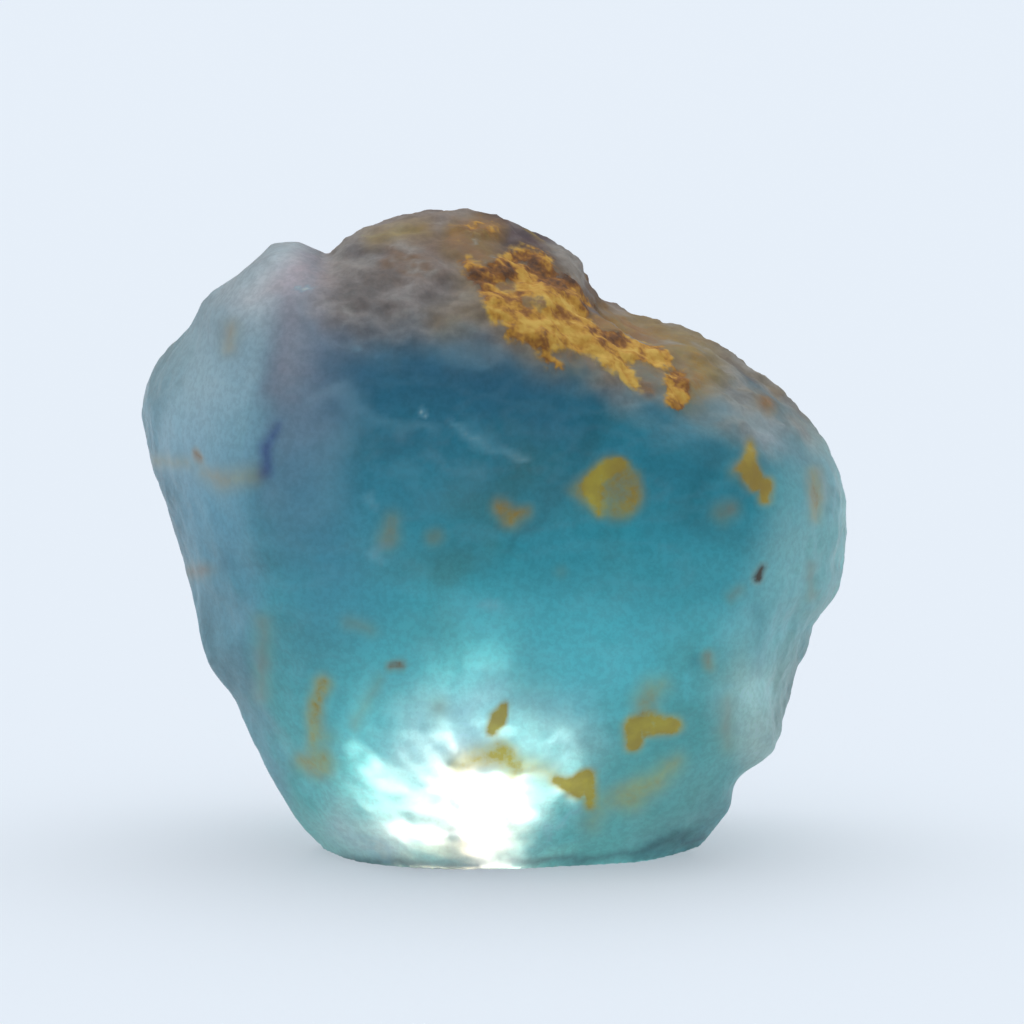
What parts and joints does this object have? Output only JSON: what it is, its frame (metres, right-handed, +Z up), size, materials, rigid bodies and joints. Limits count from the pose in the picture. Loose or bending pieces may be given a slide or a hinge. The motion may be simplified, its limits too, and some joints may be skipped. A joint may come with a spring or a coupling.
{
  "type": "rough fluorite specimen",
  "caption": "Rough see-through blue-green fluorite stone, water-worn in front and broken in cleavage steps behind, standing on a flat base.",
  "frame": {"origin": "middle of the stone's box, on the surface that it stands on", "axes": "+Z up, +X to the right and +Y away from a viewer who faces the worn front"},
  "size_m": [0.0384, 0.0226, 0.0344],
  "materials": {
    "fluorite": "satin, frosted by wear, clear inside"
  },
  "bodies": {
    "root": {"fluorite": "fluorite"}
  },
  "joints": []
}
